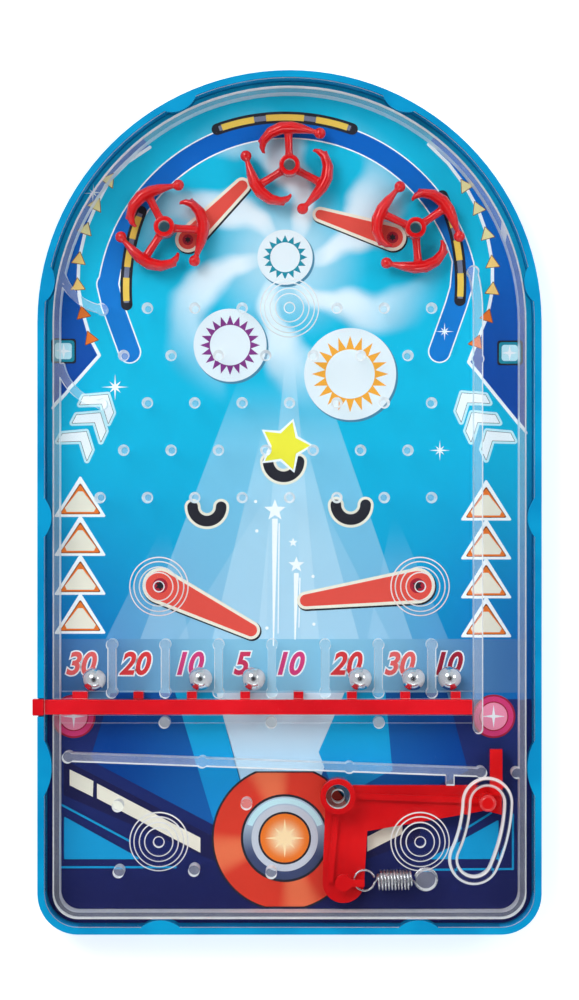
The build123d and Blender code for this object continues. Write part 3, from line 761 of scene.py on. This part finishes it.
# %% [markdown]
# ### Inks
# Print on coated card is satin. Its colour is full of tiny dots and the coat has a faint tooth, so
# each ink has a fine speckle in colour and gloss. A few inks fade from one colour to another.

# %% Inks
def ink_finish(name, colour, second=None, fade=None):
    finish = Finish(name, IOR=1.5, Specular_IOR_Level=0.12)
    metres = finish.place()
    speckle = finish.noise(2600, 3, metres)
    base = finish.blend(speckle * 0.014, colour, (1, 1, 1, 1))
    if second:
        across = finish.add("ShaderNodeSeparateXYZ", {}, {0: metres}, "X")
        share = fade(across * (1 / MM), across.other("Y") * (1 / MM))
        base = finish.blend(share, base, second)
    finish.set(Base_Color=base, Roughness=speckle * 0.16 + 0.32)
    finish.bump(speckle, 0.00001, 0.25)
    return finish.material


def round_big(x, y):
    """Streaks of gloss round the big button."""
    angle = x.math("ARCTAN2", y - BIG[1], x - BIG[0])
    return x.math("SINE", angle * 4 + 0.6).step(0.1, 1.0) * 0.6


def glow_share(x, y):
    out_x, out_y = x - BIG[0], y - BIG[1]
    return 1 - x.math("SQRT", out_x * out_x + out_y * out_y).step(0.5, 7.6)


INKS = {
    "white": (rgb(244, 249, 252),),
    "sticker": (rgb(226, 236, 241),),
    "soft_grey": (rgb(70, 130, 160),),
    "cream": (rgb(238, 232, 214),),
    "black": (rgb(34, 34, 44),),
    "grey": (rgb(118, 126, 150),),
    "yellow": (rgb(238, 200, 84),),
    "pale_yellow": (rgb(236, 224, 160),),
    "amber": (rgb(250, 208, 120),),
    "flame": (rgb(236, 118, 40),),
    "star_yellow": (rgb(240, 232, 60),),
    "brown": (rgb(128, 60, 28),),
    "teal": (rgb(20, 138, 160),),
    "purple": (rgb(128, 48, 128),),
    "orange": (rgb(244, 168, 52),),
    "coral": (rgb(226, 78, 66),),
    "dark_red": (rgb(168, 26, 50),),
    "score_red": (rgb(224, 56, 60),),
    "salmon": (rgb(236, 98, 96),),
    "magenta": (rgb(218, 60, 122),),
    "crimson": (rgb(212, 50, 92),),
    "pink": (rgb(246, 150, 180),),
    "cyan": (rgb(0, 150, 205),),
    "navy": (rgb(18, 20, 74),),
    "pale_glow": (rgb(196, 236, 244),),
    "sun_glow": (rgb(255, 226, 176),),
    "silver": (rgb(196, 204, 216),),
    "silver_dark": (rgb(60, 72, 110), rgb(176, 196, 216), lambda x, y: y.step(-120, -104)),
    "glow": (rgb(238, 120, 34), rgb(255, 236, 190), glow_share),
    "button_red": (rgb(218, 56, 36), rgb(246, 138, 92), round_big),
    "field_blue": (rgb(0, 70, 160), rgb(0, 110, 200), lambda x, y: y.step(30, 120)),
    "band_blue": (rgb(0, 120, 204), rgb(0, 96, 190), lambda x, y: y.step(60, 130)),
    "foot_blue": (rgb(0, 90, 166), rgb(0, 64, 144), lambda x, y: x.math("ABSOLUTE", x).step(30, 62)),
    "foot_sky": (rgb(0, 140, 206), rgb(20, 172, 224), lambda x, y: y.step(-100, -70)),
    "foot_pale": (rgb(164, 206, 232), rgb(206, 226, 240), lambda x, y: y.step(-98, -70)),
    "bin_band": (rgb(132, 192, 220), rgb(62, 112, 168), lambda x, y: x.math("ABSOLUTE", x).step(14, 80)),
}
for ink, shape in plates.items():
    bmesh.ops.scale(shape, vec=(MM, MM, MM), verts=shape.verts)
    bmesh.ops.translate(shape, vec=(0, 0, card_top), verts=shape.verts)
    thing = show(f"print_{ink}", mesh_of(shape, f"print_{ink}"))
    paint(thing, ink_finish(f"ink_{ink}", *INKS[ink]))
    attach(thing, "case")
print("inks:", len(plates), "not given a colour:", set(plates) - set(INKS))

# %% [markdown]
# ## The clear cover
# Plate, wall, pins, ribs and posts are one moulding on the real toy. If they stayed apart, each
# would show a false inner face where it meets the next. A Boolean union of merged copies makes the
# single clear body that light really passes through.

# %% One clear moulding
CLEAR = [
    "cover_plate", "cover_wall", "trigger_rim", "bumper_rings", "peg_pins", "bin_dividers",
    "launch_lane_guide", "upper_deflector", "lower_deflector", "return_rail", "lane_nub",
    "gate_guides", "support_posts", "lever_post", "spring_post", "spinner_axles",
]


def merged(node):
    """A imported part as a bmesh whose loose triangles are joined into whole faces."""
    shape = bmesh.new()
    shape.from_mesh(nodes[node].data)
    bmesh.ops.remove_doubles(shape, verts=shape.verts, dist=WELD)
    bmesh.ops.dissolve_limit(shape, angle_limit=0.002, verts=shape.verts, edges=shape.edges)
    return shape


print("clear parts:", len(CLEAR))

# %% [markdown]
# The bumper rings are low stepped buttons on the plate; their steps slope, and the painted highlight on
# sloping faces shows them as bright circles. Half a section is drawn and spun once round. The rim of
# the trigger's slot is a soft bead, so the top edges of its imported shape are rounded with a wide bevel.

# %% Bumper rings and the slot's bead
RING_SPOTS = [(0, 64.8), (-43.5, -28), (43.5, -28), (-43.5, -113), (43.5, -113)]
RING_SECTION = [
    (9.9, -0.3), (9.9, 0.05), (9.5, 0.5), (8.5, 0.5), (8.1, 1.0), (6.7, 1.0), (6.3, 1.5), (4.9, 1.5),
    (4.5, 2.0), (1.95, 2.0), (1.6, 1.6), (1.6, -0.3),
]


def ring_button(x, y):
    shape = bmesh.new()
    corners = [bmesh.ops.create_vert(shape, co=(r, 0, z))["vert"][0] for r, z in RING_SECTION]
    shape.faces.new(corners)
    spin_all(shape, math.tau, 64, closed=True)
    bmesh.ops.delete(shape, geom=[f for f in shape.faces if len(f.verts) > 4], context="FACES_ONLY")
    bmesh.ops.remove_doubles(shape, verts=shape.verts, dist=0.001)
    bmesh.ops.recalc_face_normals(shape, faces=shape.faces)
    bmesh.ops.scale(shape, vec=(MM, MM, MM), verts=shape.verts)
    bmesh.ops.translate(shape, vec=(x * MM, y * MM, plate_top), verts=shape.verts)
    loose = sum(not e.is_manifold for e in shape.edges)
    return show("ring_button", mesh_of(shape, "ring_button")), loose


def slot_bead():
    shape = merged("trigger_rim")
    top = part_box("trigger_rim")[1].z - 0.01 * MM
    crest = [e for e in shape.edges if all(v.co.z > top for v in e.verts) and len(e.link_faces) == 2]
    crest = [e for e in crest if e.calc_face_angle(0) > 1]
    bmesh.ops.bevel(
        shape, geom=crest, affect="EDGES", offset=1.25 * MM, segments=5, profile=0.5, material=-1,
        clamp_overlap=True,
    )
    return show("slot_bead", mesh_of(shape, "slot_bead"))


buttons = [ring_button(x, y) for x, y in RING_SPOTS]
print("ring buttons:", len(buttons), "open edges:", sum(loose for _, loose in buttons))

# %% [markdown]
# ### Joining the moulding
# A Boolean joins every clear part, so that light meets one skin and no inner walls. The feet are
# lifted clear of the ink, the edges are rounded, and the level faces are shaded flat, because a
# large flat sheet with blended normals would bend what is seen through it.

# %% The union
FOOT_LIFT = 0.19 * MM  # more than the thickest ink
plain = [node for node in CLEAR if node not in ("bumper_rings", "trigger_rim")]
copies = [show(f"copy_{node}", mesh_of(merged(node), f"copy_{node}")) for node in plain]
copies += [button for button, _ in buttons] + [slot_bead()]
group = bpy.data.collections.new("under_the_plate")
for thing in copies[1:]:
    group.objects.link(thing)
union = copies[0].modifiers.new("union", "BOOLEAN")
union.operation, union.operand_type, union.collection, union.solver = "UNION", "COLLECTION", group, "EXACT"
joined = show("joined", final_mesh(copies[0], "joined"))
for thing in copies:
    bpy.data.objects.remove(thing)
for vertex in joined.data.vertices:
    if vertex.co.z < card_top + FOOT_LIFT / 2:
        vertex.co.z = card_top + FOOT_LIFT
rounds = joined.modifiers.new("edge_rounds", "BEVEL")
rounds.width, rounds.segments, rounds.limit_method = 0.36 * MM, 2, "ANGLE"
rounds.angle_limit = math.radians(55)
cover_mesh = final_mesh(joined, "clear_cover")
bpy.data.objects.remove(joined)
clear_cover = show("clear_cover", cover_mesh)
paint(clear_cover, clear_plastic)
cover_mesh.materials.append(wall_plastic)
smooth_by_angle(clear_cover, 25)
for face in cover_mesh.polygons:
    face.use_smooth = abs(face.normal.z) < 0.99
WALL_INSIDE, WALL_FOOT = 76.75 * MM, -136.75 * MM
GUIDE_LOW, GUIDE_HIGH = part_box("gate_guides")


def in_wall(point):
    """True for a point below the plate that lies in the cover's outer wall or in the gate's guides."""
    outwards = math.hypot(point.x, max(point.y - ARCH_Y * MM, 0))
    beside_gate = GUIDE_LOW.y < point.y < GUIDE_HIGH.y and point.x < GUIDE_HIGH.x
    in_ring = outwards > WALL_INSIDE or point.y < WALL_FOOT
    return point.z < plate_under - 0.1 * MM and (in_ring or beside_gate)


for face in cover_mesh.polygons:
    face.material_index = int(in_wall(face.center))
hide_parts(*CLEAR)
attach(clear_cover, "case")
print("cover:", len(cover_mesh.polygons), "faces")

# %% [markdown]
# ## Spinners
# Each spinner is one soft-edged red moulding: a hub, three round spokes, and three bowed blades that
# end in a ball on a thin neck. The blades are rings of points swept along an arc, thick in the
# middle and thin at the neck. The swept limbs are fused by a voxel remesh, which leaves the small
# fillets that a mould has, and a Boolean cuts the bore clean for the pin.

# %% Spinner limbs
SIDES = 14  # corners of a limb's section


def swept(shape, stations):
    """Sweeps a ring through stations: a point, the way ahead in degrees, a width and a height."""
    ring = None
    for point, ahead, width, height in stations:
        turn = Matrix.Rotation(math.radians(ahead), 4, "Z") @ Matrix.Rotation(math.radians(90), 4, "Y")
        place = Matrix.Translation(point) @ turn @ Matrix.Diagonal((height / 2, width / 2, 1, 1))
        made = bmesh.ops.create_circle(shape, segments=SIDES, radius=1, matrix=place)["verts"]
        edges = list({e for v in made for e in v.link_edges})
        if ring:
            bmesh.ops.bridge_loops(shape, edges=ring + edges)
        else:
            bmesh.ops.contextual_create(shape, geom=edges)
        ring = edges
    bmesh.ops.contextual_create(shape, geom=ring)


SPOKE_Z, BLADE_Z, HUB = 6.5, 7.0, 3.5
TIP_REACH, TIP_TURN, TIP_RADIUS = 15, math.radians(-45), 1.95
# Stations along a spoke and along the small forked end beside a blade's tail.
SPOKE = [((1.5, 0, SPOKE_Z), 0, 3.3, 3.4), ((5.0, 0, SPOKE_Z), 0, 2.6, 3.1), ((12.6, 0, SPOKE_Z), 0, 2.9, 3.3)]
FORK = [((8.4, 10.2, 7.0), -55, 0.9, 1.6), ((9.6, 8.4, 7.0), -60, 1.5, 2.6), ((11.0, 6.2, 7.0), -62, 1.6, 3.0)]
# A blade's stations: angle round the hub, radius, way ahead, width and height.
BLADE = [
    (62, 9.6, -10, 1.2, 2.0), (56, 10.9, -25, 2.1, 3.6), (44, 12.2, -38, 3.0, 5.0), (28, 12.9, -58, 3.8, 6.2),
    (10, 13.1, -76, 4.3, 6.8), (-6, 13.0, -94, 4.1, 6.6), (-20, 13.1, -106, 3.4, 5.6), (-30, 13.5, -112, 2.4, 4.0),
    (-37, 14.1, -115, 1.8, 2.8), (-43, 14.8, -118, 1.5, 2.3),
]


def spinner_mesh(name, hub, phase):
    shape = bmesh.new()
    for blade in range(3):
        limb = bmesh.new()
        swept(limb, SPOKE)
        swept(limb, [
            ((r * math.cos(math.radians(a)), r * math.sin(math.radians(a)), BLADE_Z), ahead, width, height)
            for a, r, ahead, width, height in BLADE
        ])
        tip = Matrix.Translation((TIP_REACH * math.cos(TIP_TURN), TIP_REACH * math.sin(TIP_TURN), BLADE_Z))
        bmesh.ops.create_uvsphere(limb, u_segments=20, v_segments=12, radius=TIP_RADIUS, matrix=tip)
        swept(limb, FORK)
        bmesh.ops.rotate(limb, matrix=Matrix.Rotation(math.radians(120 * blade), 3, "Z"), verts=limb.verts)
        shape.from_mesh(mesh_of(limb, "limb"))
    low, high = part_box(name)
    tall = (high.z - low.z) / MM
    place = Matrix.Translation((0, 0, low.z / MM + tall / 2))
    bmesh.ops.create_cone(
        shape, cap_ends=True, segments=40, radius1=HUB, radius2=HUB, depth=tall - 0.1, matrix=place
    )
    bmesh.ops.recalc_face_normals(shape, faces=shape.faces)
    bmesh.ops.rotate(shape, matrix=Matrix.Rotation(math.radians(phase), 3, "Z"), verts=shape.verts)
    bmesh.ops.scale(shape, vec=(MM, MM, MM), verts=shape.verts)
    bmesh.ops.translate(shape, vec=(hub[0], hub[1], 0), verts=shape.verts)
    return mesh_of(shape, "limbs")


print("stations along a blade:", len(BLADE))


# %% [markdown]
# ### Fusing the limbs
# The limbs overlap where they meet. The remesh turns them into one skin, a smoothing pass takes
# off its steps, and the bore is cut last, so that it stays round.

# %% Fusing and boring
BORE = 1.98 * MM


def fused(mesh, name, hub):
    solid = show("solid", mesh)
    remesh = solid.modifiers.new("fuse", "REMESH")
    remesh.mode, remesh.voxel_size = "VOXEL", 0.3 * MM
    smooth = solid.modifiers.new("soft", "SMOOTH")
    smooth.factor, smooth.iterations = 0.5, 4
    skin = final_mesh(solid, "skin")
    bpy.data.objects.remove(solid)
    body = show("body", skin)
    drill = bmesh.new()
    place = Matrix.Translation((hub[0], hub[1], 0.01))
    bmesh.ops.create_cone(
        drill, cap_ends=True, segments=48, radius1=BORE, radius2=BORE, depth=0.04, matrix=place
    )
    cutter = show("drill", mesh_of(drill, "drill"))
    cut = body.modifiers.new("bore", "BOOLEAN")
    cut.operation, cut.object, cut.solver = "DIFFERENCE", cutter, "EXACT"
    bored = final_mesh(body, name)
    bpy.data.objects.remove(body)
    bpy.data.objects.remove(cutter)
    return bored


joints = {joint["name"]: joint for joint in frame["joints"]}
for side, phase in (("left", -3.0), ("top", 92.0), ("right", 35.0)):
    node = f"spinner_{side}"
    hub = Vector(joints[f"{node}_turn"]["pos_m"])
    mesh = fused(spinner_mesh(node, hub, phase), f"spinner_{side}_moulding", hub)
    thing = show(mesh.name, mesh)
    paint(thing, red_plastic)
    smooth_by_angle(thing, 50)
    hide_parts(node)
    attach(thing, node)
    print(thing.name, len(mesh.polygons), "faces")

# %% [markdown]
# ## The spring
# A tension spring is one wire: a loop round the lever's peg, close turns, and a loop round the fixed
# post. The wire follows a helix between the two loops. It is a curve with a round section, turned
# into a mesh.

# %% Spring path
WIRE = 0.35 * MM
low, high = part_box("launch_spring")
spring_z = (low.z + high.z) / 2
post = middle_of("spring_post")
post_reach = (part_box("spring_post")[1].x - post.x) + 0.45 * MM
peg_loop = 3.45 * MM
peg = Vector((low.x + WIRE + peg_loop, (low.y + high.y) / 2, spring_z))
along = Vector((post.x - peg.x, post.y - peg.y, 0))
run = along.length
along.normalize()
aside = Vector((-along.y, along.x, 0))
up = Vector((0, 0, 1))
COIL_RADIUS, COIL_TURNS = 3.3 * MM, 11
COIL_GAP = 0.75 * MM  # from a loop to the first turn
LOOP_STEPS, COIL_STEPS = 33, COIL_TURNS * 20


def loop_points(centre, radius, start):
    """Most of a turn round a post, in the plane of the card."""
    turns = [math.radians(start + 330 * i / LOOP_STEPS) for i in range(LOOP_STEPS + 1)]
    return [centre + along * radius * math.cos(a) + aside * radius * math.sin(a) for a in turns]


def spring_points():
    points = loop_points(peg, peg_loop, 15)
    start, end = peg_loop + COIL_GAP, run - post_reach - COIL_GAP
    for i in range(COIL_STEPS + 1):
        share = i / COIL_STEPS
        a = 2 * math.pi * COIL_TURNS * share - math.pi / 2
        away = COIL_RADIUS * min(1, 0.45 + 3.5 * min(share, 1 - share) * 2)
        ahead = along * (start + (end - start) * share)
        points.append(peg + ahead + aside * away * math.cos(a) + up * away * math.sin(a))
    return points + loop_points(peg + along * run, post_reach, 195)


print("spring from", round(peg.x / MM, 1), "to", round(post.x / MM, 1), "mm")

# %% [markdown]
# ### The wire
# A round section is carried along the path.

# %% Spring wire
curve = bpy.data.curves.new("spring_wire", "CURVE")
curve.dimensions, curve.bevel_depth, curve.bevel_resolution = "3D", WIRE, 3
curve.use_fill_caps = True
path = spring_points()
spline = curve.splines.new("POLY")
spline.points.add(len(path) - 1)
for knot, point in zip(spline.points, path):
    knot.co = (*point, 1)
thing = show("wire", curve)
spring = show("coil_spring", final_mesh(thing, "coil_spring"))
bpy.data.objects.remove(thing)
paint(spring, spring_steel)
spring.data.shade_smooth()
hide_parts("launch_spring")
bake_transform(spring)
print("spring:", len(spring.data.polygons), "faces, run", round(run / MM, 1), "mm")

# %% [markdown]
# ## Table
# The toy lies on a plain white table that glows a little, so that it stays white in the shade.

# %% Table
ground = bmesh.new()
bmesh.ops.create_grid(ground, x_segments=1, y_segments=1, size=6.0)
table = show("table", mesh_of(ground, "table"))
paper = Finish("table_white", Roughness=0.9, Emission_Strength=0.4)
paper.set(Base_Color=paper.blend(paper.noise(30), (1.0, 1.0, 1.0, 1), (0.98, 0.98, 0.98, 1)))
paint(table, paper.material)

# %% [markdown]
# ## Light
# A big soft lamp at the upper left is the main one, with weaker ones at the right and the foot.
# The room is bright at the sides and dark straight above, so the flat cover mirrors no haze and the
# balls keep a dark centre.

# %% Light
def lamp(name, place, size, power):
    """A round lamp that is aimed at the middle of the toy."""
    light = bpy.data.lights.new(name, "AREA")
    light.shape, light.size, light.energy = "DISK", size, power
    thing = show(name, light)
    thing.location = place
    thing.rotation_euler = (-Vector(place)).to_track_quat("-Z", "Y").to_euler()


lamp("key", (-0.75, 0.85, 1.25), 0.8, 9.2)
lamp("side", (0.95, 0.35, 0.9), 0.5, 2.6)
lamp("foot", (0.1, -1.1, 0.8), 0.6, 2.2)

world = bpy.data.worlds.new("room")
bpy.context.scene.world = world
world.use_nodes = True
room = world.node_tree
background = room.nodes["Background"]
facing = room.nodes.new("ShaderNodeTexCoord")
height = room.nodes.new("ShaderNodeSeparateXYZ")
ramp = room.nodes.new("ShaderNodeValToRGB")
stops = ramp.color_ramp.elements
stops[0].position, stops[0].color = 0.3, (1.0, 1.0, 1.0, 1)
stops[1].position, stops[1].color = 0.975, (0.03, 0.03, 0.04, 1)
stops.new(0.86).color = (0.9, 0.91, 0.93, 1)
room.links.new(facing.outputs["Generated"], height.inputs[0])
room.links.new(height.outputs["Z"], ramp.inputs[0])
room.links.new(ramp.outputs[0], background.inputs["Color"])
background.inputs["Strength"].default_value = 0.7
bpy.context.scene.view_settings.view_transform = "Standard"

# %% [markdown]
# ## Camera
# The camera looks straight down, with the arch at the top, from far enough that the rim hardly
# leans. The lens follows from its height and from how much of the table it is to see.

# %% Camera
CAMERA_HEIGHT, SEEN_HEIGHT, SENSOR = 1.2, 0.3333, 36.0
camera = show("camera", bpy.data.cameras.new("camera"))
camera.location = (0, 0.0008, 0.015 + CAMERA_HEIGHT)
camera.data.sensor_width = SENSOR
camera.data.lens = SENSOR * CAMERA_HEIGHT / SEEN_HEIGHT
bpy.context.scene.camera = camera
print("lens:", round(camera.data.lens, 1), "mm")

# %% [markdown]
# ## The end
# The view layer is brought up to date.

# %% The end
bpy.context.view_layer.update()
